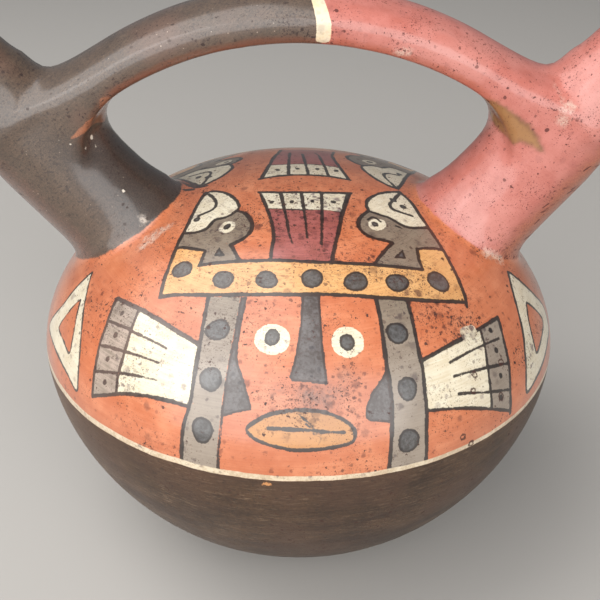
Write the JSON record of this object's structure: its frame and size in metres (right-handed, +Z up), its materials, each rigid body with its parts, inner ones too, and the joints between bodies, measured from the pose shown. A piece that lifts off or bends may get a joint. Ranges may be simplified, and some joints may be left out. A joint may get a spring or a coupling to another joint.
{
  "type": "double spout and bridge vessel",
  "caption": "Hollow fired-clay vessel with a painted dome over a plain bowl, two spouts that lean apart and an arched strap bridge between them.",
  "frame": {"origin": "centre of the flat underside that the vessel stands on", "axes": "+Z up, +X towards the red spout, -Y towards the viewer of the painted face"},
  "size_m": [0.2525, 0.17, 0.1931],
  "materials": {
    "painted_clay": "burnished coloured slips on fired clay, satin sheen, worn and speckled"
  },
  "bodies": {
    "root": {"bowl": "painted_clay", "dome": "painted_clay", "left_spout": "painted_clay", "right_spout": "painted_clay", "bridge": "painted_clay"}
  },
  "joints": []
}
